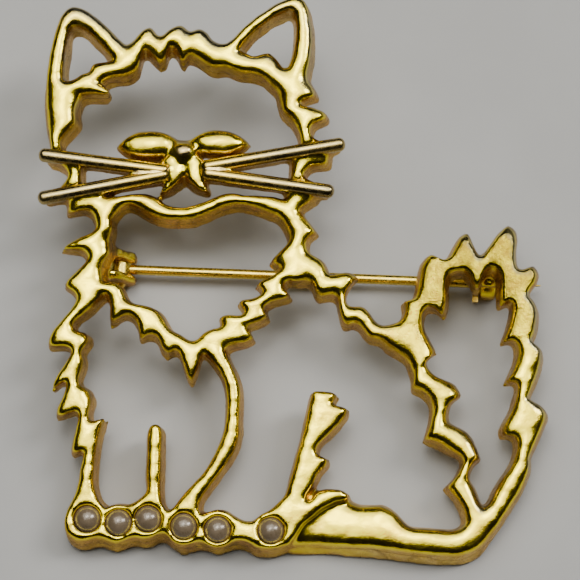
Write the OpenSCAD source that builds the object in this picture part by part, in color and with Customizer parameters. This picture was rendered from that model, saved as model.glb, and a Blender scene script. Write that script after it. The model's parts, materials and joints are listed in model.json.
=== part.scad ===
// Openwork cat brooch with six pearls, a swinging pin and a locking catch.
// The cat is laid out flat, front face up, then tipped into the way it lies on a table:
// its pin joint and catch hold the head end up, and the base rests on its lower back edge.

/* [Cat] */
// Width that the shares across are taken of, whisker tips to tail
cat_w = 45.6; // [44:0.1:48]
// Height that the shares up are taken of, feet to ears
cat_h = 51.0; // [49:0.1:54]
// Thickness of the cast metal, back to the crest of a strand
metal_t = 3.0; // [2.6:0.1:3.4]
// How far every side wall spreads from its upper edge to the back
wall_spread = 0.32; // [0.1:0.01:0.36]
// How far the outer walls of the base spread from their upper edge to the back
foot_spread = 0.75; // [0.4:0.05:0.9]
// How far a rounded strand falls from its crest to its side wall
round_drop = 1.0; // [0.5:0.05:1.3]
// How far a limb's strand falls from its crest to its side wall
limb_drop = 0.6; // [0.35:0.05:0.8]
// How far a flat strand falls from its crest to its side wall
flat_drop = 0.35; // [0.15:0.05:0.6]

/* [Face] */
// Diameter of a whisker
whisker_d = 1.08; // [0.8:0.02:1.2]
// How far a whisker's top stands above the crest of the strands
whisker_rise = 0.45; // [0.2:0.05:0.6]
// Depth of an eye from its crown to its underside
eye_depth = 2.0; // [1.4:0.1:2.4]

/* [Pearls] */
// Diameter of a pearl
pearl_d = 2.4; // [2.1:0.02:2.5]
// How far a pearl's crown stands above the paw
pearl_rise = 0.3; // [0.1:0.05:0.6]
// Depth of a pearl's socket
socket_depth = 1.2; // [0.9:0.05:1.4]
// Gap round and under a pearl
pearl_gap = 0.04; // [0.03:0.01:0.06]

/* [Pin] */
// Diameter of the pin's wire
wire_d = 0.9; // [0.8:0.02:1]
// Distance from the back of the cat to the axis of the pin
pin_depth = 2.75; // [2.5:0.05:3.1]
// How far the pin's point reaches past the middle of the catch
point_past = 4.9; // [4.6:0.1:5.6]
// Length of the pin's sharpened end
point_length = 3.6; // [3:0.1:4]
// Diameter of the pivot rivet
rivet_d = 0.7; // [0.6:0.02:0.8]
// Radial gap between the rivet and the pin's eye
pivot_gap = 0.03; // [0.02:0.01:0.06]

/* [Catch] */
// Outer diameter of the catch's fixed barrel
barrel_d = 2.9; // [2.8:0.05:3.2]
// Length of the catch's fixed barrel
barrel_l = 1.5; // [1.2:0.1:1.8]
// Width of the slot that the pin passes through
slot_w = 1.2; // [1.15:0.01:1.3]
// Radial gap round the turning collar
collar_gap = 0.05; // [0.03:0.01:0.08]

/* [Hidden] */
eps = 0.01;

// Strand tables. Each row is one cross-section: first edge across and up, second edge
// across and up, in per cent of cat_w and cat_h. A fifth value, where there is one, says
// how many times deeper than usual the first edge falls, as in the drooping tufts. A sixth
// says how far the whole section is sunk, in shares of metal_t, as in the haunch.
ear_left = [
    [17.0, 94.7, 15.0, 91.7], [15.4, 96.1, 14.2, 92.5], [13.5, 97.9, 12.4, 94.7],
    [11.3, 99.8, 10.1, 96.8], [9.4, 101.1, 9.0, 97.7], [7.8, 101.8, 7.8, 98.3],
    [6.3, 102.0, 6.8, 98.5], [5.1, 101.5, 6.0, 98.2], [4.1, 100.2, 5.6, 97.4],
    [3.3, 98.3, 5.3, 96.2], [2.6, 95.8, 5.1, 94.8], [2.1, 93.5, 4.8, 93.2],
    [1.7, 91.0, 4.6, 91.0], [1.5, 88.6, 4.5, 88.6], [1.35, 86.9, 6.2, 87.0],
    [1.35, 85.0, 8.0, 84.9], [1.5, 82.5, 7.3, 82.4], [1.9, 80.0, 7.6, 80.2],
    [2.1, 78.5, 5.0, 78.0], [2.4, 77.2, 4.0, 77.0]];
cheek_left = [
    [2.7, 75.9, 4.3, 76.0], [2.4, 74.4, 5.2, 75.0], [2.4, 73.3, 6.4, 74.0],
    [4.6, 72.8, 7.6, 73.2], [6.2, 71.8, 8.4, 72.2], [6.3, 70.6, 8.4, 70.8],
    [5.2, 69.2, 8.5, 69.6], [4.2, 68.2, 9.0, 68.6], [5.8, 67.4, 10.5, 67.6],
    [6.3, 66.2, 13.0, 67.0], [6.1, 63.9, 15.9, 66.0], [9.6, 64.5, 16.2, 64.6],
    [11.1, 63.9, 16.0, 63.9], [11.8, 62.6, 14.4, 62.7], [12.1, 61.4, 15.0, 61.6],
    [11.2, 60.2, 14.8, 60.6], [8.4, 59.3, 14.6, 59.7], [5.1, 57.5, 14.5, 58.7],
    [9.0, 57.3, 14.6, 57.7], [10.3, 56.5, 14.7, 56.7], [10.4, 55.6, 13.8, 55.8],
    [9.6, 54.7, 13.1, 54.8], [8.0, 53.3, 12.9, 53.4]];
side_left = [
    [6.2, 51.6, 13.0, 51.5], [5.9, 50.9, 13.2, 50.0], [7.6, 50.0, 12.9, 48.9],
    [8.5, 49.0, 11.6, 47.8], [8.2, 48.0, 10.6, 46.9], [7.2, 46.7, 9.4, 46.0],
    [6.1, 45.5, 8.2, 45.3], [5.2, 44.5, 7.2, 44.4], [4.2, 43.4, 7.3, 43.4],
    [3.4, 42.3, 8.4, 42.5], [2.9, 41.2, 9.8, 42.5], [3.1, 40.1, 10.6, 41.6],
    [5.6, 40.2, 10.4, 40.7], [7.2, 40.1, 9.6, 40.0], [7.7, 39.4, 8.9, 39.3],
    [7.0, 38.0, 9.0, 38.7], [6.0, 36.6, 9.4, 38.1], [4.9, 35.1, 9.7, 37.7],
    [4.1, 33.8, 9.7, 37.4], [3.8, 32.7, 9.6, 37.1], [6.3, 34.5, 9.3, 36.1],
    [6.8, 33.7, 8.8, 35.0], [6.4, 32.2, 8.5, 33.8], [5.8, 31.0, 9.2, 32.9],
    [5.1, 29.6, 10.2, 32.7], [4.8, 28.7, 10.9, 32.0], [4.8, 27.7, 11.3, 31.0],
    [7.2, 28.4, 11.3, 30.2], [9.1, 29.2, 11.1, 29.7], [9.1, 27.8, 10.6, 28.6],
    [8.9, 26.4, 10.7, 27.2], [8.6, 25.3, 11.5, 26.6], [8.5, 24.8, 13.8, 27.3],
    [8.2, 23.9, 13.5, 26.5], [7.9, 22.8, 13.2, 25.6], [7.8, 22.0, 13.0, 24.8],
    [8.1, 21.1, 12.8, 24.0], [10.6, 22.4, 12.5, 23.1], [10.3, 21.3, 12.2, 21.7],
    [9.9, 19.9, 11.9, 20.2], [9.6, 18.3, 11.9, 18.6], [9.5, 16.9, 11.8, 17.0],
    [9.2, 15.6, 12.0, 15.4], [8.7, 14.3, 12.8, 13.6], [8.2, 12.8, 13.8, 11.8]];
brow_spur = [
    [4.7, 87.8, 5.1, 85.7], [8.5, 88.9, 8.4, 85.5], [10.5, 88.4, 10.2, 85.9],
    [13.8, 86.4, 13.6, 86.0]];
forehead = [
    [7.6, 88.8, 9.0, 86.6], [8.3, 89.5, 9.8, 87.3], [10.1, 89.7, 10.8, 88.0],
    [10.5, 91.3, 12.4, 87.8], [12.5, 91.5, 13.8, 88.7], [15.0, 91.8, 15.3, 89.1],
    [17.2, 94.6, 17.3, 88.8], [18.6, 95.4, 19.0, 89.6], [19.9, 96.9, 19.9, 90.6],
    [21.0, 97.8, 20.5, 93.6], [22.2, 98.2, 21.3, 94.0], [22.9, 97.0, 22.5, 92.6],
    [23.6, 96.2, 23.9, 91.3], [24.6, 96.4, 25.0, 91.7], [25.8, 97.5, 25.5, 93.8],
    [27.0, 98.2, 26.4, 94.5], [28.4, 98.4, 27.5, 93.4], [29.2, 97.6, 28.2, 91.6],
    [29.9, 96.9, 28.9, 91.3], [31.0, 97.5, 29.6, 92.9], [32.1, 97.7, 31.3, 92.3],
    [33.4, 96.8, 33.0, 91.1], [34.3, 95.6, 34.8, 90.2], [36.4, 94.5, 37.2, 90.6],
    [39.2, 93.3, 38.6, 90.0], [41.2, 93.1, 40.3, 89.4], [42.6, 92.4, 42.8, 89.4],
    [44.4, 92.8, 44.4, 88.7], [46.0, 93.1, 45.4, 87.9], [47.3, 91.9, 46.2, 87.1],
    [48.3, 90.3, 47.6, 86.0], [51.3, 90.0, 48.9, 84.4]];
ear_right = [
    [36.0, 94.8, 38.0, 91.6], [37.2, 94.8, 39.3, 93.0], [38.8, 96.0, 39.8, 94.1],
    [40.4, 97.6, 40.9, 95.4], [43.4, 99.9, 43.0, 97.3], [47.0, 102.1, 46.2, 99.6],
    [49.3, 103.1, 48.6, 100.7], [51.2, 103.5, 49.8, 101.3], [52.8, 103.0, 50.7, 101.1],
    [53.6, 101.3, 51.2, 100.0], [54.2, 98.0, 51.4, 97.8], [54.4, 95.2, 51.2, 95.2],
    [54.1, 92.5, 50.7, 92.7], [53.6, 89.8, 49.6, 90.0], [53.4, 88.4, 47.6, 86.4]];
cheek_right = [
    [54.6, 86.5, 48.0, 84.6], [55.3, 85.1, 48.1, 83.8], [52.0, 84.1, 48.4, 83.0],
    [52.0, 83.2, 48.9, 82.1], [54.8, 82.8, 49.4, 81.5], [57.0, 82.0, 50.0, 80.8],
    [57.4, 80.9, 50.7, 80.3], [54.2, 79.9, 51.4, 79.5], [53.7, 78.7, 52.0, 78.6],
    [54.3, 77.6, 52.3, 77.4], [56.2, 76.6, 52.2, 76.2], [57.8, 74.4, 51.2, 74.6],
    [57.5, 72.4, 50.4, 73.0], [54.0, 72.2, 50.4, 72.0], [52.5, 71.2, 50.4, 71.0],
    [52.5, 70.2, 50.3, 69.9], [54.5, 69.3, 50.2, 68.9], [56.2, 68.0, 49.6, 67.8],
    [54.8, 66.2, 49.3, 66.4], [51.9, 64.6, 48.8, 64.6]];
chin = [
    [13.0, 66.8, 15.0, 63.4], [16.5, 67.0, 17.0, 65.5], [19.0, 67.3, 18.5, 65.8],
    [21.6, 67.4, 20.0, 64.9], [23.6, 66.6, 21.8, 63.9], [24.9, 65.6, 23.5, 63.2],
    [26.4, 65.0, 25.6, 62.8], [29.0, 64.8, 28.5, 62.7], [31.0, 65.2, 31.0, 62.9],
    [33.6, 65.9, 33.8, 63.9], [36.0, 67.0, 36.6, 65.0], [38.5, 67.4, 38.8, 65.6],
    [41.0, 66.9, 40.8, 65.7], [43.5, 67.0, 43.2, 65.0], [47.0, 66.6, 45.6, 64.0],
    [50.0, 65.7, 47.6, 63.4], [52.2, 63.7, 48.9, 62.1], [53.9, 61.6, 49.7, 60.6],
    [55.3, 60.1, 50.1, 59.3]];
neck_right = [
    [53.3, 59.2, 49.8, 58.3], [53.0, 57.8, 49.2, 57.6], [53.4, 56.7, 48.0, 56.7],
    [54.6, 55.9, 46.4, 55.2], [56.2, 55.2, 46.9, 54.5], [56.8, 54.2, 48.8, 54.0],
    [56.9, 53.4, 49.6, 52.4]];
chest = [
    [11.5, 51.5, 13.0, 49.6], [14.5, 51.4, 13.9, 49.8], [15.9, 51.2, 14.6, 48.9],
    [16.9, 50.5, 15.0, 47.8], [17.4, 49.3, 14.9, 46.2], [18.0, 48.3, 15.0, 44.4],
    [19.0, 47.7, 16.4, 45.1], [20.0, 47.5, 17.6, 45.9], [21.2, 47.3, 18.9, 45.8],
    [22.5, 47.0, 19.9, 45.1], [23.8, 46.5, 20.5, 43.6], [24.7, 45.7, 20.9, 41.4],
    [25.3, 44.8, 22.4, 42.3], [25.8, 43.8, 23.8, 42.2], [26.3, 43.0, 24.6, 41.4],
    [27.2, 42.5, 25.1, 39.8], [28.2, 42.2, 26.2, 38.7], [29.0, 41.7, 27.5, 39.8],
    [29.7, 41.2, 28.5, 39.3], [30.3, 40.9, 29.2, 37.4], [31.0, 40.8, 30.0, 35.0],
    [31.6, 40.9, 30.8, 33.6], [32.3, 41.3, 31.8, 35.8], [32.9, 41.9, 32.4, 37.8],
    [33.7, 42.5, 32.9, 39.5], [34.6, 42.9, 34.6, 39.2], [35.6, 43.1, 36.6, 40.0],
    [36.6, 43.3, 38.4, 40.4], [37.2, 43.3, 41.0, 40.7], [36.3, 45.0, 42.7, 41.5],
    [37.0, 45.4, 41.9, 42.7], [38.6, 45.4, 40.9, 43.9], [40.0, 45.2, 42.4, 44.0],
    [41.3, 45.6, 44.3, 44.6], [41.3, 46.5, 45.5, 45.2], [40.0, 47.6, 45.1, 46.0],
    [40.6, 48.2, 44.7, 46.6], [42.6, 48.3, 44.8, 47.4], [44.6, 49.1, 46.3, 48.1],
    [45.1, 49.9, 49.9, 48.7], [43.5, 50.9, 49.6, 49.4], [44.9, 51.8, 48.4, 50.3],
    [46.3, 52.3, 48.5, 51.3], [47.6, 53.1, 49.5, 52.0], [48.8, 54.1, 51.0, 51.5],
    [50.5, 55.5, 53.6, 51.9]];
leg = [
    [32.6, 40.6, 36.6, 41.6], [33.0, 39.5, 36.8, 40.2], [33.9, 38.5, 37.5, 38.6],
    [35.2, 37.2, 38.3, 37.1], [36.3, 35.9, 39.0, 35.8], [37.2, 34.4, 39.7, 34.2],
    [37.7, 32.9, 40.1, 32.6], [38.0, 31.0, 40.2, 30.8], [38.0, 28.9, 40.1, 28.7],
    [37.8, 26.9, 40.0, 26.6], [37.4, 24.9, 40.0, 24.8], [36.7, 23.1, 39.6, 23.0],
    [35.7, 21.2, 39.0, 21.4], [34.4, 19.1, 37.6, 19.4], [32.9, 17.2, 35.9, 17.3],
    [31.4, 15.8, 34.2, 15.4], [29.9, 14.4, 32.8, 13.6], [28.6, 13.0, 32.2, 12.0],
    [28.0, 11.6, 31.6, 10.0]];
post = [
    [23.3, 26.3, 24.3, 26.3], [22.8, 25.8, 24.8, 25.8], [22.6, 24.8, 25.0, 24.8],
    [22.6, 22.2, 24.9, 22.0], [22.5, 19.5, 25.0, 19.2], [22.4, 17.2, 24.8, 16.8],
    [22.7, 15.2, 24.8, 14.8], [22.4, 13.0, 25.1, 12.6]];
thigh = [
    [54.4, 32.0, 58.5, 31.8], [54.2, 31.0, 59.0, 31.2], [54.0, 30.2, 57.7, 30.2],
    [53.9, 29.6, 58.3, 29.6], [53.7, 28.9, 61.1, 28.9], [53.5, 28.0, 60.6, 27.8],
    [53.2, 26.8, 59.3, 26.3], [52.9, 25.4, 57.9, 24.9], [52.5, 24.1, 56.0, 23.5],
    [52.2, 22.9, 54.9, 22.4], [51.8, 21.7, 54.8, 21.3], [51.5, 20.8, 55.5, 20.6],
    [51.3, 20.1, 57.3, 20.2], [51.0, 19.1, 56.8, 19.1], [50.7, 18.0, 55.2, 17.8],
    [50.3, 16.8, 54.8, 16.8], [49.8, 15.1, 54.2, 15.6], [49.3, 13.9, 52.3, 13.0],
    [48.5, 12.6, 51.8, 11.5]];
spur = [
    [51.9, 11.9, 53.0, 9.5], [53.6, 12.5, 54.2, 10.4], [54.8, 13.8, 55.4, 11.4],
    [55.4, 14.6, 56.6, 12.0], [57.5, 14.9, 58.2, 12.7], [59.6, 14.8, 59.8, 13.1],
    [61.3, 13.9, 61.0, 13.3]];
paws = [
    [6.65, 9.9, 6.65, 8.6], [7.4, 11.9, 7.3, 7.5], [8.6, 13.8, 8.6, 6.6],
    [10.5, 14.2, 9.7, 6.35], [12.4, 14.2, 11.2, 6.5], [13.4, 12.6, 12.6, 6.95],
    [14.3, 11.55, 13.9, 6.9], [15.6, 11.8, 15.0, 6.45], [17.2, 12.2, 16.6, 6.1],
    [18.8, 12.15, 18.0, 6.5], [20.2, 12.7, 19.6, 7.0], [21.4, 13.5, 20.6, 7.05],
    [22.6, 14.6, 21.9, 6.65], [24.8, 14.4, 23.3, 6.9], [25.1, 12.8, 24.3, 7.5],
    [25.7, 11.6, 25.3, 7.9], [26.8, 11.0, 26.3, 7.6], [27.8, 11.9, 27.4, 6.5],
    [29.0, 13.4, 28.7, 5.75], [32.3, 12.6, 30.3, 5.7], [32.4, 11.2, 31.6, 6.15],
    [32.8, 10.5, 33.0, 6.3], [34.2, 10.9, 34.2, 6.0], [36.0, 11.4, 35.8, 5.55],
    [37.8, 11.1, 37.4, 5.9], [39.3, 10.1, 39.2, 6.4], [41.0, 9.4, 41.0, 6.5],
    [42.8, 9.2, 42.4, 5.9], [44.2, 9.6, 43.6, 5.2], [45.6, 10.8, 45.2, 5.0],
    [47.4, 12.1, 46.8, 5.1], [49.4, 14.0, 48.2, 5.4], [52.4, 13.4, 49.2, 5.5],
    [54.6, 12.1, 49.9, 5.6]];
haunch = [
    [53.2, 11.9, 48.8, 5.2, 1, 0.24], [56.5, 12.6, 52.4, 5.3, 1, 0.23],
    [61.6, 12.6, 56.6, 5.3, 1, 0.2], [63.4, 11.9, 60.4, 5.05, 1, 0.16],
    [65.4, 11.9, 63.4, 4.9, 1, 0.12], [67.6, 12.0, 65.6, 4.8, 1, 0.08],
    [69.2, 11.4, 67.4, 4.65, 1, 0.05], [70.3, 10.6, 68.9, 4.5, 1, 0.02], [71.5, 9.3, 70.4, 4.3],
    [72.6, 8.4, 71.8, 4.1], [73.6, 8.1, 73.5, 3.9], [76.0, 8.0, 76.0, 3.6],
    [79.0, 7.8, 79.0, 3.4], [81.0, 7.6, 82.0, 3.3], [82.5, 7.9, 84.0, 3.7],
    [83.7, 8.9, 85.6, 4.4], [84.2, 10.4, 87.0, 5.5], [86.2, 11.0, 88.5, 7.2],
    [87.3, 11.5, 90.2, 9.1]];
tail_right = [
    [85.6, 10.9, 87.6, 6.2], [86.8, 11.4, 89.6, 8.5], [88.1, 12.1, 91.8, 11.2],
    [88.9, 13.4, 93.2, 13.2], [89.8, 15.1, 94.3, 14.8],
    [90.9, 16.8, 95.2, 16.4], [92.2, 18.3, 95.9, 18.0], [93.1, 19.5, 96.1, 19.3],
    [93.7, 20.8, 95.9, 20.4], [94.0, 22.2, 96.4, 21.5], [93.9, 23.4, 97.3, 23.1],
    [93.0, 24.1, 98.2, 24.6], [91.0, 24.0, 99.0, 26.1], [91.0, 25.5, 99.6, 27.3],
    [91.9, 26.9, 99.4, 28.2], [92.7, 28.2, 98.4, 29.3], [93.4, 29.6, 97.0, 30.0],
    [94.0, 30.9, 95.7, 30.4], [94.4, 32.2, 96.2, 31.4], [94.4, 33.6, 96.9, 32.8],
    [93.1, 33.6, 97.6, 34.0], [91.8, 33.2, 98.3, 35.6], [92.9, 35.0, 98.6, 36.6],
    [93.7, 36.4, 98.8, 37.4], [94.4, 37.9, 98.9, 38.2], [94.5, 39.2, 98.8, 39.1],
    [94.2, 40.3, 97.8, 39.9], [93.6, 41.0, 96.6, 40.6], [92.6, 40.8, 97.5, 41.9],
    [91.4, 40.4, 98.0, 43.4], [91.9, 41.6, 98.2, 44.6], [92.7, 43.2, 98.2, 45.6],
    [93.1, 44.6, 98.0, 46.6], [93.4, 46.0, 97.4, 47.7], [93.7, 47.2, 96.2, 48.8],
    [93.4, 47.9, 96.8, 50.0], [92.4, 47.6, 97.9, 51.0], [91.0, 46.9, 98.5, 52.7],
    [90.9, 47.8, 97.6, 54.1], [91.0, 49.0, 96.2, 53.4],
    [91.1, 50.6, 94.7, 53.2]];
tail_top = [
    [96.0, 53.2, 91.0, 49.1, 1],
    [94.8, 52.8, 91.1, 50.2, 1], [94.1, 54.4, 91.2, 51.6, 1], [94.1, 56.5, 90.9, 52.4, 1.3],
    [94.5, 58.5, 90.5, 53.0, 1.6], [94.2, 60.2, 89.9, 53.4, 1.8], [92.9, 61.3, 89.3, 53.5, 2],
    [91.0, 59.8, 88.5, 53.3, 1.8], [89.6, 58.0, 87.9, 52.8, 1.5], [88.4, 56.6, 87.3, 51.6, 1.2],
    [87.5, 55.7, 87.0, 50.2, 1], [86.8, 56.0, 86.5, 49.7, 1], [86.1, 57.0, 85.7, 50.8, 1.2],
    [85.5, 58.4, 85.1, 52.0, 1.6], [84.9, 59.9, 84.6, 52.5, 2], [83.4, 59.2, 84.2, 52.9, 1.8],
    [82.3, 57.5, 83.8, 53.1, 1.5], [81.4, 55.6, 83.4, 53.2, 1.2], [80.2, 55.0, 83.0, 53.2, 1],
    [78.8, 55.4, 82.6, 53.1, 1], [77.6, 56.1, 82.1, 52.9, 1.3], [76.7, 55.4, 81.0, 52.6, 1.2],
    [75.9, 54.1, 80.6, 51.0, 1], [75.5, 52.5, 80.6, 49.3, 1], [75.2, 50.9, 80.5, 47.0, 1],
    [74.8, 49.2, 79.8, 45.1, 1], [74.4, 48.0, 78.4, 46.6, 1], [72.2, 47.8, 77.0, 46.9, 1],
    [72.7, 46.3, 75.8, 46.0, 1], [72.4, 45.2, 75.5, 44.6, 1], [71.6, 44.0, 75.6, 43.4, 1]];
back = [
    [55.0, 55.6, 50.5, 51.9], [56.4, 54.9, 53.4, 51.9], [56.9, 53.6, 54.7, 50.9],
    [57.4, 52.6, 55.1, 49.4], [58.7, 52.5, 55.9, 48.6], [60.0, 52.8, 57.3, 48.9],
    [61.6, 53.0, 58.6, 49.1], [63.1, 52.1, 59.3, 48.6], [61.6, 50.8, 59.5, 47.9],
    [60.7, 49.2, 59.7, 46.8], [60.6, 47.9, 60.0, 45.2], [61.5, 46.8, 60.5, 43.9],
    [63.0, 46.8, 61.2, 43.6], [64.2, 46.8, 62.4, 44.2], [65.1, 46.1, 63.6, 43.9],
    [65.8, 45.1, 64.6, 42.6], [66.6, 44.1, 65.4, 41.6], [67.8, 43.4, 66.6, 41.3],
    [68.9, 43.4, 67.8, 41.2], [70.3, 43.8, 69.0, 39.8], [72.4, 44.4, 70.6, 38.8],
    [75.3, 44.6, 72.2, 38.0], [75.9, 42.8, 73.1, 36.9], [76.8, 41.2, 73.6, 35.8],
    [78.2, 38.6, 74.0, 34.7], [76.2, 37.9, 74.0, 33.7], [76.2, 36.7, 73.7, 32.4],
    [76.9, 35.5, 75.4, 32.1], [78.3, 34.4, 76.7, 31.3], [80.2, 33.7, 77.4, 30.2],
    [81.8, 33.0, 77.6, 29.0], [83.0, 31.1, 77.5, 28.0], [81.3, 30.3, 77.4, 27.2],
    [80.5, 29.2, 77.2, 26.5], [80.2, 27.8, 76.8, 25.3], [80.2, 26.4, 76.1, 23.5],
    [82.0, 25.7, 78.0, 23.1], [83.8, 24.9, 79.6, 22.3], [84.9, 23.6, 80.6, 21.7],
    [85.6, 22.0, 82.2, 21.0], [86.4, 20.3, 83.5, 20.3], [85.0, 19.6, 83.7, 19.6],
    [84.3, 18.4, 83.2, 18.6], [84.0, 17.2, 82.5, 17.3], [84.2, 16.3, 81.2, 16.1],
    [85.0, 15.5, 80.0, 15.2], [85.5, 14.3, 81.3, 14.1], [85.9, 13.0, 82.5, 12.8],
    [86.6, 11.8, 83.4, 11.3], [87.5, 10.5, 83.7, 9.6]];
muzzle_left = [
    [24.6, 73.4, 26.0, 74.4], [24.3, 72.4, 28.6, 73.6], [25.2, 71.4, 28.8, 72.2],
    [26.0, 70.4, 28.6, 70.6], [25.4, 69.0, 28.0, 69.4], [24.2, 67.6, 25.6, 68.0]];
muzzle_right = [
    [31.6, 74.2, 33.2, 73.2], [29.2, 73.4, 33.4, 72.2], [29.0, 71.8, 32.6, 71.2],
    [29.4, 70.4, 32.0, 70.4], [30.2, 69.4, 33.2, 69.2], [32.0, 68.2, 33.8, 67.8]];
// A whisker's root across and up, its tip across and up
whiskers = [
    [25.8, 71.6, 1.2, 74.7], [25.8, 71.0, 1.2, 66.9],
    [32.6, 72.25, 59.8, 76.3], [32.8, 71.2, 57.6, 67.8]];
// An eye's middle across and up, its length across, its height and its turn
eyes = [[22.0, 76.3, 11.3, 4.3, 2], [35.85, 76.6, 10.5, 3.9, -2]];
// The nose's middle across and up
nose_at = [28.9, 74.9];
// A pearl's middle across and up, then its paw's radius in shares of cat_w
pearls = [
    [10.9, 10.1, 0.040], [16.9, 9.4, 0.036], [22.6, 10.05, 0.036],
    [29.5, 8.75, 0.035], [36.05, 8.2, 0.033], [46.3, 8.0, 0.033]];

pearl_r = pearl_d / 2;
pearl_z = metal_t + pearl_rise - pearl_r;
socket_z = metal_t - socket_depth;
whisker_z = metal_t + whisker_rise - whisker_d / 2;
wire_r = wire_d / 2;
rivet_r = rivet_d / 2;

// The pin frame: its origin is the pivot, its first axis runs along the pin to its point
pivot_x = -0.3453 * cat_w;
pivot_y = 0.0627 * cat_h;
pin_turn = -2.6;
catch_x = 0.739 * cat_w;
pin_length = catch_x + point_past;
plate_t = 0.17 * metal_t;
plate_in = 0.08 * metal_t;
ear_t = 0.75;
eye_t = 1.2;
eye_r = 1.0;
side_gap = 0.04;
joint_w = eye_t + 2 * side_gap + 2 * ear_t;
pad_w = 1.35 * joint_w;
barrel_r = barrel_d / 2;
neck_w = 0.62 * barrel_d;
collar_in = wire_r + 0.4 * wire_r;
collar_r = collar_in + 0.14 * barrel_d;
bore_r = collar_r + collar_gap;
flange_r = 0.93 * barrel_r;
flange_t = 0.5;
lip_t = 0.25;
lever_r = 0.65 * pin_depth;
snug = 0.02;

// How the cat lies: base edge, joint and catch touch the table together
base_y = -0.466 * cat_h - foot_spread;
far_y = pivot_y + sin(pin_turn) * (catch_x + barrel_l / 2) - base_y;
tilt = atan2(pin_depth, far_y) + asin(barrel_r / norm([pin_depth, far_y]));
joint_r = (pivot_y - joint_w / 2 * cos(pin_turn) - base_y) * tan(tilt) - pin_depth;
mid_x = 0.0025 * cat_w;
mid_y = 0.033 * cat_h;

function across(u) = (u / 100 - 0.5) * cat_w;
function up(v) = (v / 100 - 0.5) * cat_h;
// Points were read off at the height of the crests, from a viewpoint this far from the middle
view = [0.11 * cat_w, -0.82 * cat_h];
view_h = 4 * cat_h;
function seen(p, low) = p + (p - view) * low / view_h;
function bent(x, e) = sign(x) * pow(abs(x), e);
function cross_z(a, b) = a[0] * b[1] - a[1] * b[0];

// Strand points: per row, a half oval between two side walls that spread to the back
function fall(drop, wide) = drop * min(1, wide / (0.05 * cat_w));
function strand_points(rows, drop, e, n, foot, fade) = [
    for (i = [0:len(rows) - 1])
        let (r = rows[i], t = fade * pow(i / (len(rows) - 1), 4))
        let (out = foot * (1 - t) + wall_spread * t)
        let (p = [across(r[0]), up(r[1])], q = [across(r[2]), up(r[3])])
        let (deep = fall(drop, norm(q - p)), more = len(r) > 4 ? r[4] : 1)
        let (sunk = metal_t * (len(r) > 5 ? r[5] : 0), top = metal_t - sunk)
        let (a = seen(p, sunk + deep * more), b = seen(q, sunk + deep))
        let (w = b - a, d = w / norm(w))
        for (j = [0:n + 2])
            let (turn = 180 * (j - 1) / n, c = cos(turn), s = 0.5 - bent(c, e) / 2)
            let (h = bent(sin(turn), e), k = s < 0.5 ? more : 1)
            j == 0 ? [each (a - d * wall_spread), 0]
            : j == n + 2 ? [each (b + d * out), 0]
            : [each (a + w * s), top - deep * k * (1 - h)]];
function strand_sense(rows) = let (c = [
    for (i = [0:len(rows) - 2])
        let (p = rows[i], q = rows[i + 1])
        cross_z([q[0] + q[2] - p[0] - p[2], q[1] + q[3] - p[1] - p[3]],
            [p[2] - p[0], p[3] - p[1]])]) c * [for (x = c) 1];

module strand(rows, drop, e, n = 6, foot = wall_spread, fade = 0) {
    m = n + 3;
    last = len(rows) - 1;
    side = [for (i = [0:last - 1], j = [0:m - 1])
        let (a = i * m + j, b = i * m + (j + 1) % m)
        each [[a, b, b + m], [a, b + m, a + m]]];
    ends = [for (j = [1:m - 2]) each [[0, j + 1, j], last * m * [1, 1, 1] + [0, j, j + 1]]];
    faces = concat(side, ends);
    polyhedron(
        strand_points(rows, drop, e, n, foot, fade),
        strand_sense(rows) < 0 ? [for (f = faces) [f[2], f[1], f[0]]] : faces);
}

module round_strands() {
    strand(concat(ear_left, cheek_left), round_drop, 0.8);
    strand(concat([cheek_left[len(cheek_left) - 1]], side_left), limb_drop, 0.65, 5);
    strand(brow_spur, round_drop, 0.8);
    strand(forehead, round_drop, 0.8);
    strand(concat(ear_right, cheek_right), round_drop, 0.8);
    strand(concat(chin, neck_right), round_drop, 0.8);
    strand(back, round_drop, 0.8, 5);
    strand(tail_right, round_drop, 0.7, 5);
    strand(tail_top, round_drop, 0.7, 5);
    strand(muzzle_left, round_drop, 0.8, 4);
    strand(muzzle_right, round_drop, 0.8, 4);
}

module flat_strands() {
    strand(chest, limb_drop, 0.6, 5);
    strand(leg, limb_drop, 0.6, 5);
    strand(post, limb_drop, 0.6, 5);
    strand(thigh, flat_drop, 0.45, 5);
    strand(spur, flat_drop, 0.45, 5);
    strand(paws, flat_drop, 0.45, 5, foot_spread);
    strand(haunch, round_drop, 0.7, 6, foot_spread, 1);
}

// A whisker: a round rod on a narrow wall
module whisker(w) {
    a = [across(w[0]), up(w[1])];
    b = [across(w[2]), up(w[3])];
    long = norm(b - a);
    wide = 0.72 * whisker_d;
    translate([each a, 0]) rotate(atan2(b[1] - a[1], b[0] - a[0])) {
        rotate([90, 0, 90]) linear_extrude(long) {
            translate([0, whisker_z]) circle(d = whisker_d, $fn = 12);
            translate([-wide / 2, 0.25 * metal_t]) square([wide, whisker_z - 0.25 * metal_t]);
        }
        translate([long, 0, whisker_z]) rotate([0, 90, 0]) sphere(d = 0.95 * whisker_d, $fn = 12);
    }
}

// An almond eye: a dome with pointed ends, on an upright wall
module eye(e) {
    long = e[2] / 100 * cat_w;
    high = e[3] / 100 * cat_h;
    big = (long * long / 4 + high * high / 4) / high;
    dome = 0.3 * metal_t;
    low = metal_t + 0.05 * metal_t - dome;
    translate([each seen([across(e[0]), up(e[1])], metal_t - low), low]) rotate(e[4])
        intersection() {
            union() {
                scale([0.54 * long, 0.62 * high, dome]) sphere(r = 1, $fn = 16);
                translate([0, 0, dome - eye_depth])
                    cylinder(h = eye_depth - dome, r = long, $fn = 8);
            }
            translate([0, big - high / 2, -low]) arc_wall(big);
            translate([0, high / 2 - big, -low]) arc_wall(big);
        }
}

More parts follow.
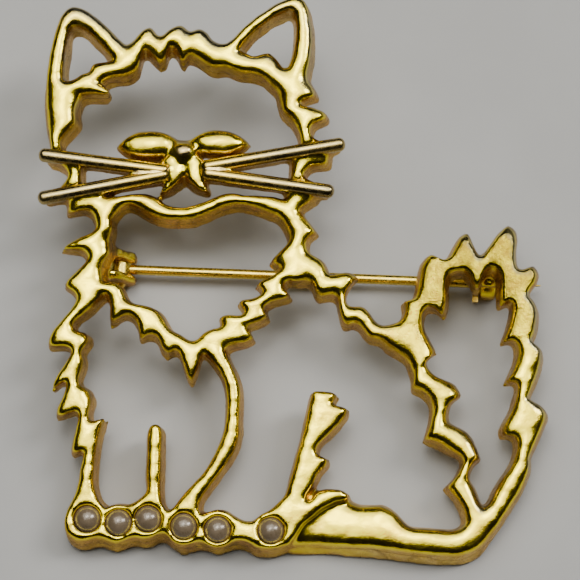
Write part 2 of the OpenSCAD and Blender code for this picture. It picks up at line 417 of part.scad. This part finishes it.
module arc_wall(r) {
    cylinder(h = 1.1 * metal_t, r1 = r + 2 * wall_spread, r2 = r, $fn = 60);
}

// What holds an eye to the nose: a low bar under both
module bridge(e) {
    a = [across(e[0]), up(e[1])];
    b = [across(nose_at[0]), up(nose_at[1])];
    wide = 0.45 * e[3] / 100 * cat_h;
    translate([each a, 0.35 * metal_t]) rotate(atan2(b[1] - a[1], b[0] - a[0]))
        translate([0, -wide / 2, 0]) cube([norm(b - a), wide, 0.33 * metal_t]);
}

module nose() {
    bead = 0.021 * cat_w;
    low = bead - whisker_rise;
    p = seen([across(nose_at[0]), up(nose_at[1])], low);
    translate([each p, 0]) cylinder(h = 0.72 * metal_t, r = 1.4 * bead, $fn = 16);
    translate([each p, metal_t - low]) scale([1.25 * bead, bead, bead]) sphere(r = 1, $fn = 16);
}

module cup(p) {
    translate([across(p[0]), up(p[1]), 0])
        cylinder(h = 0.965 * metal_t, r1 = p[2] * cat_w + wall_spread,
            r2 = 1.25 * pearl_r, $fn = 20);
}

module socket(p) {
    sides = 24;
    translate([across(p[0]), up(p[1]), socket_z])
        cylinder(h = metal_t, r = (pearl_r + pearl_gap) / cos(180 / sides), $fn = sides);
}

// All that is cast in one piece, one closed mesh as high as the whiskers' tops
module casting() {
    resize([0, 0, metal_t + whisker_rise]) difference() {
        union() {
            round_strands();
            flat_strands();
            for (w = whiskers) whisker(w);
            for (e = eyes) eye(e);
            for (e = eyes) bridge(e);
            nose();
            for (p = pearls) cup(p);
        }
        for (p = pearls) socket(p);
    }
}

module lay() {
    translate([-mid_x, -mid_y, -base_y * sin(tilt)]) rotate([tilt, 0, 0]) children();
}

module pin_frame() {
    translate([pivot_x, pivot_y, -pin_depth]) rotate(pin_turn) children();
}

// An ear of the joint in profile: round about the rivet, drawn up to the plate
module joint_ear() {
    hull() {
        circle(r = joint_r, $fn = 32);
        translate([-2.4 * eye_r, pin_depth - 0.8 * plate_t])
            square([2.25 * eye_r, 0.8 * plate_t + 0.6 * plate_in]);
    }
}

// The soldered joint: a plate under the cheek with two ears beside the pin
module joint() {
    difference() {
        union() {
            translate([-2.6 * eye_r, -pad_w / 2, pin_depth - plate_t])
                cube([1.7 * eye_r, pad_w, plate_t + plate_in]);
            for (y = [ear_t - joint_w / 2, joint_w / 2])
                translate([0, y, 0]) rotate([90, 0, 0]) linear_extrude(ear_t) joint_ear();
        }
        translate([0, -joint_w, 0]) rotate([-90, 0, 0])
            cylinder(h = 2 * joint_w, r = rivet_r + snug);
    }
}

// The soldered catch: a plate under the tail, a neck and a slotted barrel
module catch() {
    translate([catch_x, 0, 0]) difference() {
        union() {
            translate([-barrel_r, -0.22 * pad_w, pin_depth - plate_t])
                cube([2.2 * barrel_r, 0.57 * pad_w, plate_t + plate_in]);
            translate([-barrel_l / 2, -0.2 * neck_w, 0])
                cube([barrel_l, 0.7 * neck_w, pin_depth + 0.6 * plate_in]);
            translate([-barrel_l / 2, 0, 0]) rotate([0, 90, 0])
                cylinder(h = barrel_l, r = barrel_r);
        }
        translate([-barrel_l, 0, 0]) rotate([0, 90, 0]) cylinder(h = 2 * barrel_l, r = bore_r);
        translate([-barrel_l, -slot_w / 2, -2 * barrel_r])
            cube([2 * barrel_l, slot_w, 2 * barrel_r]);
    }
}

module cat_frame() {
    color("goldenrod") lay() {
        casting();
        pin_frame() joint();
        pin_frame() catch();
    }
}

// A half pearl: round above, cut flat below
module pearl(i) {
    p = pearls[i];
    low = socket_z + pearl_gap;
    color("gainsboro") lay() translate([across(p[0]), up(p[1]), 0]) intersection() {
        translate([0, 0, pearl_z]) sphere(r = pearl_r);
        translate([0, 0, low]) cylinder(h = 2 * metal_t, r = pearl_d);
    }
}
module pearl_1() { pearl(0); }
module pearl_2() { pearl(1); }
module pearl_3() { pearl(2); }
module pearl_4() { pearl(3); }
module pearl_5() { pearl(4); }
module pearl_6() { pearl(5); }

module hinge_rivet() {
    head = rivet_r;
    wide = 1.7 * rivet_r;
    half = joint_w / 2 + snug;
    color("silver") lay() pin_frame() rotate([-90, 0, 0]) {
        translate([0, 0, -half]) cylinder(h = 2 * half, r = rivet_r);
        translate([0, 0, half]) cylinder(h = head, r1 = wide, r2 = rivet_r);
        translate([0, 0, -half - head]) cylinder(h = head, r1 = rivet_r, r2 = wide);
    }
}

module pin_stem() {
    straight = pin_length - point_length;
    color("khaki") lay() pin_frame() difference() {
        union() {
            translate([0, -eye_t / 2, 0]) rotate([-90, 0, 0]) cylinder(h = eye_t, r = eye_r);
            rotate([0, 90, 0]) cylinder(h = straight, r = wire_r);
            translate([straight, 0, 0]) rotate([0, 90, 0])
                cylinder(h = point_length, r1 = wire_r, r2 = 0.13 * wire_r);
        }
        translate([0, -eye_t, 0]) rotate([-90, 0, 0])
            cylinder(h = 2 * eye_t, r = rivet_r + pivot_gap);
    }
}

// The turning collar: a slotted tube with a flange, a thumb lever and a spread lip
module catch_collar() {
    half = barrel_l / 2 + collar_gap;
    color("gold") lay() pin_frame() translate([catch_x, 0, 0]) difference() {
        union() {
            translate([-half - flange_t, 0, 0]) rotate([0, 90, 0])
                cylinder(h = 2 * half + lip_t + flange_t, r = collar_r);
            translate([half, 0, 0]) rotate([0, 90, 0])
                cylinder(h = lip_t, r = bore_r + 0.6 * lip_t);
            translate([-half - flange_t, 0, 0]) rotate([0, 90, 0])
                cylinder(h = flange_t, r = flange_r);
            translate([-half - flange_t, -lever_r, -0.6 * flange_t])
                cube([flange_t, lever_r, 1.2 * flange_t]);
        }
        translate([-2 * barrel_l, 0, 0]) rotate([0, 90, 0])
            cylinder(h = 4 * barrel_l, r = collar_in);
        translate([-2 * barrel_l, -slot_w / 2, -2 * barrel_r])
            cube([4 * barrel_l, slot_w, 2 * barrel_r]);
    }
}

cat_frame();
pearl_1();
pearl_2();
pearl_3();
pearl_4();
pearl_5();
pearl_6();
hinge_rivet();
pin_stem();
catch_collar();
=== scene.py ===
"""Looks of the openwork cat brooch, lying face up on pale paper.

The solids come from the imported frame. This script gives the casting a soft cast skin, lays round rods over
its whiskers, gives every piece its finish, and adds the paper, the soft studio light and the photograph's
camera. Lengths are in metres, and a noise's scale is in cells a metre.
"""

import json
import math

import bpy
from mathutils import Matrix, Vector


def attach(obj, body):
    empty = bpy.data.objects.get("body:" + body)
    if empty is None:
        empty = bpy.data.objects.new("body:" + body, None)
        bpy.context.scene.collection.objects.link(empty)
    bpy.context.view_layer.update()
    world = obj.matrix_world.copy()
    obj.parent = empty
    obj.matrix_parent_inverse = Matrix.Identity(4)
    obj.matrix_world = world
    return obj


MM = 0.001

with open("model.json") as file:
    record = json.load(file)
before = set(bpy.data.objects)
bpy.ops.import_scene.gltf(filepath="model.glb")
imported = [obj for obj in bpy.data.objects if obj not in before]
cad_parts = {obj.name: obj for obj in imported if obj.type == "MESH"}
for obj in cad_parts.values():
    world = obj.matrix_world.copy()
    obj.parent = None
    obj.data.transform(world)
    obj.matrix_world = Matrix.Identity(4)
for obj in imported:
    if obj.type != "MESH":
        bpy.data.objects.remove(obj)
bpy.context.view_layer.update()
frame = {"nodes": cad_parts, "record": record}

# The cat's own frame, which the part's source is drawn in, found from the mount on its back
CAT_W, CAT_H, METAL_T = 45.6 * MM, 51.0 * MM, 3.0 * MM
BACK_ACROSS, BACK_UP = 0.2, -0.427
NOSE_X = -0.211 * CAT_W
BACK = next(m for m in frame["record"]["mounts"] if m["name"] == "back")
FRONT_NORMAL = -Vector(BACK["axis"]).normalized()
TILT = math.atan2(-FRONT_NORMAL.y, FRONT_NORMAL.z)
TURN = Matrix.Rotation(TILT, 3, "X")
CAT_ORIGIN = Vector(BACK["pos_m"]) - TURN @ Vector((BACK_ACROSS * CAT_W, BACK_UP * CAT_H, 0))


def from_cat(p):
    """A point given in the cat's own frame (its back at height 0, its ears along +Y), in the row frame."""
    return TURN @ Vector(p) + CAT_ORIGIN


class Shader:
    """A material under construction: add() makes a node, set() fills its inputs by name or by link."""

    def __init__(self, name):
        self.material = bpy.data.materials.new(name)
        self.material.use_nodes = True
        self.tree = self.material.node_tree
        self.bsdf = self.tree.nodes["Principled BSDF"]
        self.coords = self.add("ShaderNodeTexCoord").outputs["Object"]

    def add(self, kind, inputs=None, **props):
        node = self.tree.nodes.new(kind)
        for key, value in props.items():
            setattr(node, key, value)
        self.set(node, inputs or {})
        return node

    def set(self, node, inputs):
        for key, value in inputs.items():
            if isinstance(value, bpy.types.NodeSocket):
                self.tree.links.new(value, node.inputs[key])
            else:
                node.inputs[key].default_value = value

    def noise(self, scale, detail=3.0, rough=0.55, distortion=0.0):
        inputs = {"Scale": scale, "Detail": detail, "Roughness": rough, "Distortion": distortion}
        return self.add("ShaderNodeTexNoise", {"Vector": self.coords, **inputs}).outputs["Fac"]

    def ramp(self, value, low, high, to_low=0.0, to_high=1.0):
        """A soft step from to_low, where the value is low, to to_high, where it is high."""
        inputs = {"From Min": low, "From Max": high, "To Min": to_low, "To Max": to_high}
        node = self.add("ShaderNodeMapRange", {"Value": value, **inputs}, interpolation_type="SMOOTHSTEP")
        return node.outputs["Result"]

    def calc(self, operation, a, b=0.0):
        return self.add("ShaderNodeMath", {0: a, 1: b}, operation=operation).outputs[0]

    def times(self, a, b):
        return self.calc("MULTIPLY", a, b)

    def plus(self, a, b):
        return self.calc("ADD", a, b)

    def less(self, a, b):
        return self.calc("SUBTRACT", a, b)

    def larger(self, a, b):
        return self.calc("MAXIMUM", a, b)

    def dot(self, a, b):
        return self.add("ShaderNodeVectorMath", {0: a, 1: b}, operation="DOT_PRODUCT").outputs["Value"]

    def along(self, direction, offset=0.0):
        """The distance of the surface point along a direction, less an offset."""
        return self.less(self.dot(self.coords, direction), offset)

    def facing(self, direction):
        """How far the surface faces a direction: 1 towards it, 0 along it and -1 away from it."""
        return self.dot(self.add("ShaderNodeNewGeometry").outputs["Normal"], direction)

    def mix(self, factor, a, b):
        """The colour between a and b, each a colour or a link."""
        factor_in, a_in, b_in, colour_out = 0, 6, 7, 2
        node = self.add("ShaderNodeMix", data_type="RGBA")
        self.set(node, {factor_in: factor, a_in: a, b_in: b})
        return node.outputs[colour_out]

    def bump(self, height, strength, distance, normal=None):
        inputs = {"Height": height, "Strength": strength, "Distance": distance}
        if normal is not None:
            inputs["Normal"] = normal
        return self.add("ShaderNodeBump", inputs).outputs["Normal"]

    def finish(self, colour, roughness, normal, metallic=1.0):
        """Joins the colour, roughness and normal to the shader and returns the material."""
        self.set(self.bsdf, {"Base Color": colour, "Roughness": roughness, "Normal": normal})
        self.set(self.bsdf, {"Metallic": metallic})
        return self.material


GOLD_PLATE = (1.0, 0.80, 0.03, 1)
DEEP_GOLD = (0.60, 0.38, 0.035, 1)
DULL_GOLD = (0.82, 0.60, 0.22, 1)
# The next three colours paint light and shade on the walls: brass for a lighter painted reflection on the
# base's outer wall, amber for painted shade on the walls, and umber for darker painted shade in patches and
# in a dark band
LIT_BASE_WALL_BRASS = (0.86, 0.60, 0.26, 1)
SHADED_WALL_AMBER = (0.50, 0.27, 0.09, 1)
UMBER_SHADE = (0.10, 0.05, 0.02, 1)
WORN = (0.62, 0.46, 0.17, 1)
# Silver of rubbed plating, also painted as a silvery reflection where surfaces lean up and right
SILVER = (0.42, 0.41, 0.32, 1)
# A painted dark shade for the rims that lean up and right
PAINTED_RIM_DARK = (0.17, 0.15, 0.12, 1)
WARM_EDGE = (1.0, 0.86, 0.66, 1)
WIRE_GOLD, FINDING_GOLD = (0.76, 0.58, 0.10, 1), (0.68, 0.45, 0.08, 1)
ROD_ROOT, ROD_TIP = (0.66, 0.47, 0.09, 1), (0.40, 0.32, 0.15, 1)
PEARL_DARK, PEARL_LIGHT = (0.145, 0.107, 0.066, 1), (0.19, 0.142, 0.092, 1)
PAPER_DARK, PAPER_LIGHT = (0.375, 0.374, 0.372, 1), (0.40, 0.399, 0.396, 1)

# Where the casting's finish and its painted shade and reflections change, each from no effect to its full
# effect: by how far the surface faces the front, by height over the back, and by place across and up
WALL_FACING, BACK_FACING, FLAT_FACING = (0.56, 0.26), (-0.5, -0.85), (0.84, 0.94)
RAISED_HEIGHT = (METAL_T + 0.22 * MM, METAL_T + 0.34 * MM)
CREST_Y = (21.0 * MM, 24.5 * MM)
BASE_X, BASE_Y = (0, 6 * MM), (-19.5 * MM, -21.5 * MM)
SATIN_X, SATIN_Y = (6 * MM, 12 * MM), (-10 * MM, -4 * MM)
WORN_X, WORN_Y = (13 * MM, 18 * MM), (12 * MM, 20 * MM)
# A painted dark band, a dark reflection, wavering along the middle of the walls: its height over the back,
# its wobble and its soft edge
DARK_BAND_HEIGHT, DARK_BAND_WOBBLE = 1.5 * MM, 0.5 * MM
DARK_BAND_EDGE = (0.13 * MM, 0.03 * MM)
# The side towards which the plate shows rubbed silver with a painted silvery reflection, and rims get painted
# dark shade
WEAR_AND_PAINTED_LIGHT_SIDE = (0.4, 0.9, -0.15)


def wall_colour_with_painted_shade(s, x, y, wall, painted_dark_band):
    """Painted shade on the walls: amber in streaks over the plate's gold, a lighter brass painted reflection
    on the base's outer wall, a painted dark band in umber and umber patches of painted shade.
    """
    base = s.times(s.ramp(y, *BASE_Y), s.ramp(x, *BASE_X))
    base = s.times(base, s.ramp(s.noise(260, 4, 0.65), 0.35, 0.6, 0.45, 1.0))
    streaks = s.ramp(s.noise(520, 4, 0.65, 0.4), 0.3, 0.7, 0.7, 1.0)
    colour = s.mix(s.times(wall, streaks), GOLD_PLATE, s.mix(base, SHADED_WALL_AMBER, LIT_BASE_WALL_BRASS))
    # The painted dark band along the walls, in umber
    colour = s.mix(s.times(painted_dark_band, s.ramp(s.noise(230, 2), 0.42, 0.62, 0.0, 0.6)), colour, UMBER_SHADE)
    shade = s.times(wall, s.ramp(s.noise(800, 5, 0.7, 0.6), 0.42, 0.72, 0.0, 0.75))
    return s.mix(shade, colour, UMBER_SHADE)


def worn_and_painted_edges(s, x, y, front, raised, colour):
    """The colour with silver on surfaces leaning up and right, more at the top and right of the brooch: the
    plate rubbed to silver and a painted silvery reflection; and painted dark shade on the outer rims that
    lean that way most.
    """
    lean = s.facing(WEAR_AND_PAINTED_LIGHT_SIDE)
    high = s.larger(s.ramp(y, *WORN_Y), s.ramp(x, *WORN_X))
    # Rubbed silver plating and a painted silvery reflection on surfaces leaning up and right, more at the top
    # and right of the brooch
    plated_off_and_sheen = s.times(s.ramp(lean, -0.22, 0.12), s.ramp(s.noise(300, 3), 0.3, 0.6, 0.4, 0.9))
    plated_off_and_sheen = s.times(plated_off_and_sheen, s.less(1.0, s.times(raised, 0.8)))
    plated_off_and_sheen = s.times(plated_off_and_sheen, s.ramp(front, 0.0, 0.3, 0.25, 1.0))
    colour = s.mix(s.times(plated_off_and_sheen, s.plus(s.times(high, 0.7), 0.2)), colour, SILVER)
    # Painted dark shade on the rims that lean most up and right
    rim = s.times(s.ramp(lean, 0.35, 0.65), s.ramp(front, 0.1, 0.35))
    painted_rim_shade = s.times(rim, s.ramp(s.noise(210, 3), 0.35, 0.6, 0.4, 1.0))
    return s.mix(painted_rim_shade, colour, PAINTED_RIM_DARK)


def cast_gold():
    """Polished gold-tone plate: walls in painted amber and umber shade with a painted dark band, a lighter
    painted reflection on the base wall, a sandy tail, a duller back, worn high parts, and on surfaces leaning
    up and right rubbed silver with a painted silvery reflection and painted dark rims.
    """
    s = Shader("cast_gold_tone")
    x, y = s.along((1, 0, 0)), s.along((0, 1, 0))
    height = s.along(FRONT_NORMAL[:], CAT_ORIGIN.dot(FRONT_NORMAL))
    front = s.facing(FRONT_NORMAL[:])
    back = s.ramp(front, *BACK_FACING)
    wall = s.times(s.ramp(front, *WALL_FACING), s.less(1.0, back))
    raised = s.ramp(height, *RAISED_HEIGHT)
    crest = s.times(s.ramp(y, *CREST_Y), s.ramp(s.noise(300, 2), 0.3, 0.6))
    # A painted dark band along the walls at mid-height, wavering; the bump below also sinks a shallow groove
    # there
    wobble = s.ramp(s.noise(140, 3, 0.6), 0.2, 0.8, -DARK_BAND_WOBBLE, DARK_BAND_WOBBLE)
    off_line = s.calc("ABSOLUTE", s.less(s.plus(height, wobble), DARK_BAND_HEIGHT))
    painted_dark_band = s.times(s.ramp(off_line, *DARK_BAND_EDGE), wall)
    sheet = s.times(s.times(s.ramp(x, *SATIN_X), s.ramp(y, *SATIN_Y)), s.ramp(front, *FLAT_FACING))
    satin = s.times(sheet, s.ramp(s.noise(420, 3), 0.3, 0.65, 0.6, 1.0))

    cloud = s.times(s.ramp(s.noise(420, 5, 0.75), 0.42, 0.7), 0.65)
    sand = s.times(satin, s.ramp(s.noise(1500, 3, 0.7), 0.35, 0.65, 0.1, 0.95))
    # The walls get painted shade in amber and umber, a lighter painted reflection on the base wall and a
    # painted dark band
    colour = wall_colour_with_painted_shade(s, x, y, wall, painted_dark_band)
    colour = s.mix(s.larger(cloud, sand), colour, DEEP_GOLD)
    colour = s.mix(s.times(back, 0.75), colour, DULL_GOLD)
    colour = s.mix(s.larger(raised, s.times(crest, 0.8)), colour, WORN)
    # Rubbed silver with a painted silvery reflection, and painted dark rims, on surfaces leaning up and right
    colour = worn_and_painted_edges(s, x, y, front, raised, colour)

    rough = s.ramp(s.noise(900, 4, 0.6), 0.35, 0.75, 0.17, 0.27)
    for mask, more in ((satin, 0.13), (wall, 0.06), (back, 0.14)):
        rough = s.plus(rough, s.times(mask, more))

    sandy = s.plus(s.times(satin, 1.7), s.times(wall, 0.8))
    grain = s.times(s.noise(3800, 3, 0.75), s.larger(sandy, 0.22))
    swell = s.less(s.noise(380, 2, 0.5), s.times(painted_dark_band, 0.8))
    normal = s.bump(grain, 0.9, 0.1 * MM, s.bump(swell, 0.35, 0.08 * MM))
    s.set(s.bsdf, {"Specular Tint": WARM_EDGE})
    return s.finish(colour, rough, normal)


def bright_gold(name, colour, roughness):
    """Gold-tone plate on wire and stamped findings, with fine draw marks."""
    s = Shader(name)
    marks = s.noise(2600, 3, 0.6)
    tint = s.mix(s.ramp(s.noise(700, 2), 0.3, 0.7, 0.0, 0.45), colour, DEEP_GOLD)
    rough = s.ramp(marks, 0.3, 0.7, roughness, roughness + 0.14)
    return s.finish(tint, rough, s.bump(marks, 0.2, 0.02 * MM))


def whisker_material():
    """Gold-tone plate worn to silver-bronze on the raised rods, more so towards their tips."""
    s = Shader("whisker")
    from_nose = s.calc("ABSOLUTE", s.along((1, 0, 0), NOSE_X))
    out = s.ramp(from_nose, 3 * MM, 9 * MM, 0.0, 0.7)
    patch = s.plus(out, s.ramp(s.noise(330, 3, 0.6), 0.35, 0.65, 0.0, 0.3))
    rough = s.ramp(s.noise(1300, 3, 0.6), 0.3, 0.7, 0.2, 0.32)
    return s.finish(s.mix(patch, ROD_ROOT, ROD_TIP), rough, s.bump(s.noise(700, 3), 0.25, 0.05 * MM))


def pearl_material():
    """Grey-beige pearl lustre under a soft clear coat, a little brighter where it faces the viewer."""
    s = Shader("pearl")
    body = s.mix(s.ramp(s.noise(1500, 3), 0.3, 0.7), PEARL_DARK, PEARL_LIGHT)
    rough = s.ramp(s.noise(2400, 2), 0.3, 0.7, 0.26, 0.34)
    edge = s.add("ShaderNodeLayerWeight", {"Blend": 0.35}).outputs["Facing"]
    sheen = s.ramp(edge, 0.2, 0.9, 0.15, 0.0)
    s.set(s.bsdf, {"Coat Weight": 0.8, "Coat Roughness": 0.14})
    return s.finish(body, rough, s.bump(s.noise(1800, 2), 0.1, 0.02 * MM), sheen)


def paper_material():
    """Pale grey paper, faintly mottled and with a fine fibre."""
    s = Shader("paper")
    tone = s.mix(s.ramp(s.noise(60, 3), 0.3, 0.7), PAPER_DARK, PAPER_LIGHT)
    return s.finish(tone, 0.9, s.bump(s.noise(3500, 4, 0.7), 0.15, 0.05 * MM), 0.0)


def finish_node(name, material):
    """Gives a CAD node its material."""
    node = frame["nodes"][name]
    for slot in node.material_slots:
        slot.material = material
    return node


def displace(node, name, strength, mid_level=0.0, texture=None):
    """Moves a node's surface outwards, all over or by a texture fixed to the node."""
    modifier = node.modifiers.new(name, "DISPLACE")
    modifier.strength = strength
    modifier.mid_level = mid_level
    if texture is not None:
        modifier.texture = texture
        modifier.texture_coords = "LOCAL"


# The casting: remeshed and relaxed to soft edges, brought back out to its size, then gently uneven
VOXEL, RELAX_ROUNDS = 0.22 * MM, 12
REGROW, DENT_DEPTH, DENT_WIDTH = 0.055 * MM, 0.13 * MM, 1.7 * MM

casting = finish_node("cat_frame", cast_gold())
skin = casting.modifiers.new("skin", "REMESH")
skin.mode = "VOXEL"
skin.voxel_size = VOXEL
skin.use_smooth_shade = True
relax = casting.modifiers.new("relax", "SMOOTH")
relax.factor = 0.5
relax.iterations = RELAX_ROUNDS
displace(casting, "grow", REGROW)
dents = bpy.data.textures.new("dents", "CLOUDS")
dents.noise_scale = DENT_WIDTH
dents.noise_depth = 2
displace(casting, "dents", DENT_DEPTH, 0.25, dents)

# The whiskers' roots and tips, as in the part's source, in hundredths of the cat's width and height:
# root across, root up, tip across, tip up
WHISKERS = (
    (25.8, 71.6, 1.2, 74.7),
    (25.8, 71.0, 1.2, 66.9),
    (32.6, 72.25, 59.8, 76.3),
    (32.8, 71.2, 57.6, 67.8),
)
WHISKER_R, WHISKER_RISE = 0.64 * MM, 0.55 * MM
ROD_SIDES, ROD_RINGS, CAP_RINGS = 24, 24, 6
CAP_LENGTH, CAP_ANGLE = 0.84 * WHISKER_R, 0.98 * math.pi / 2


def whisker_end(across, up):
    """A point on a whisker's axis, in the cat's own frame."""
    middle = METAL_T + WHISKER_RISE - WHISKER_R
    return Vector(((across / 100 - 0.5) * CAT_W, (up / 100 - 0.5) * CAT_H, middle))


def whisker_rod(number, row, material):
    """A round rod with a domed tip over the casting's whisker."""
    root, tip = whisker_end(*row[:2]), whisker_end(*row[2:])
    along = (tip - root).normalized()
    side = along.cross(Vector((0, 0, 1)))
    rings = [(root.lerp(tip, k / ROD_RINGS), WHISKER_R) for k in range(ROD_RINGS + 1)]
    for k in range(1, CAP_RINGS + 1):
        angle = CAP_ANGLE * k / CAP_RINGS
        rings.append((tip + along * CAP_LENGTH * math.sin(angle), WHISKER_R * math.cos(angle)))

    points, faces = [], []
    for centre, radius in rings:
        for k in range(ROD_SIDES):
            turn = 2 * math.pi * k / ROD_SIDES
            arm = side * math.cos(turn) + along.cross(side) * math.sin(turn)
            points.append(from_cat(centre + arm * radius))
    for ring in range(len(rings) - 1):
        for k in range(ROD_SIDES):
            a, b = ring * ROD_SIDES + k, ring * ROD_SIDES + (k + 1) % ROD_SIDES
            faces.append((a, b, b + ROD_SIDES, a + ROD_SIDES))
    faces.append(tuple(range(ROD_SIDES))[::-1])
    faces.append(tuple(range(len(points) - ROD_SIDES, len(points))))

    mesh = bpy.data.meshes.new(f"whisker_{number}")
    mesh.from_pydata(points, [], faces)
    mesh.shade_smooth()
    mesh.materials.append(material)
    rod = bpy.data.objects.new(f"whisker_{number}", mesh)
    bpy.context.scene.collection.objects.link(rod)
    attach(rod, "brooch")


whisker_gold = whisker_material()
for number, row in enumerate(WHISKERS, 1):
    whisker_rod(number, row, whisker_gold)

# The pearls, filled out to their sockets, and the findings
PEARLS, PEARL_SWELL = 6, 0.06 * MM

pearl_lustre = pearl_material()
for number in range(1, PEARLS + 1):
    displace(finish_node(f"pearl_{number}", pearl_lustre), "full", PEARL_SWELL)
finish_node("pin_stem", bright_gold("wire_gold_tone", WIRE_GOLD, 0.2))
finding = bright_gold("finding_gold_tone", FINDING_GOLD, 0.24)
finish_node("hinge_rivet", finding)
finish_node("catch_collar", finding)

# The paper, a square given by half its side
HALF = 0.4
corners = [(-HALF, -HALF, 0), (HALF, -HALF, 0), (HALF, HALF, 0), (-HALF, HALF, 0)]
paper = bpy.data.meshes.new("paper")
paper.from_pydata(corners, [], [(0, 1, 2, 3)])
paper.materials.append(paper_material())
floor = bpy.data.objects.new("paper", paper)
bpy.context.scene.collection.objects.link(floor)

# Soft boxes that face the brooch: name, place, width and height, power in watts, colour
LIGHTS = (
    ("sky_panel", (-0.03, 0.1, 0.51), (0.6, 0.53), 2.85, (1.0, 0.99, 0.93)),
    ("core", (-0.03, 0.07, 0.49), (0.17, 0.13), 0.6, (1.0, 0.98, 0.92)),
    ("key", (0.8, 0.3, 0.95), (0.32, 0.5), 9.0, (1.0, 0.98, 0.95)),
)
WORLD_TONE = (0.008, 0.007, 0.006, 1)

for name, place, size, power, tone in LIGHTS:
    lamp = bpy.data.lights.new(name, "AREA")
    lamp.shape = "RECTANGLE"
    lamp.size, lamp.size_y = size
    lamp.energy = power
    lamp.color = tone
    light = bpy.data.objects.new(name, lamp)
    light.location = place
    light.rotation_euler = (-Vector(place)).to_track_quat("-Z", "Y").to_euler()
    bpy.context.scene.collection.objects.link(light)

world = bpy.data.worlds.new("studio")
world.use_nodes = True
world.node_tree.nodes["Background"].inputs["Color"].default_value = WORLD_TONE
world.node_tree.nodes["Background"].inputs["Strength"].default_value = 1.0
bpy.context.scene.world = world

# The photograph's camera, in the cat's own frame: its distance from the middle of the front, how far it
# leans, and the photograph's pixels a metre there
DISTANCE = 210 * MM
LEAN_X, LEAN_Y = 0.024, -0.2
SCALE = 11.2 / MM
PHOTO_WIDTH, SENSOR = 580, 36.0

toward = Vector((LEAN_X, LEAN_Y, math.sqrt(1 - LEAN_X**2 - LEAN_Y**2)))
right = Vector((0, 1, 0)).cross(toward).normalized()
up = toward.cross(right)
axes = Matrix((TURN @ right, TURN @ up, TURN @ toward)).transposed()
place = from_cat(Vector((0, 0, METAL_T)) + DISTANCE * toward)
camera_data = bpy.data.cameras.new("camera")
camera_data.sensor_fit = "HORIZONTAL"
camera_data.sensor_width = SENSOR
camera_data.lens = SENSOR * SCALE * DISTANCE / PHOTO_WIDTH
camera_data.clip_start = 10 * MM
camera = bpy.data.objects.new("camera", camera_data)
camera.matrix_world = Matrix.Translation(place) @ axes.to_4x4()
bpy.context.scene.collection.objects.link(camera)
bpy.context.scene.camera = camera
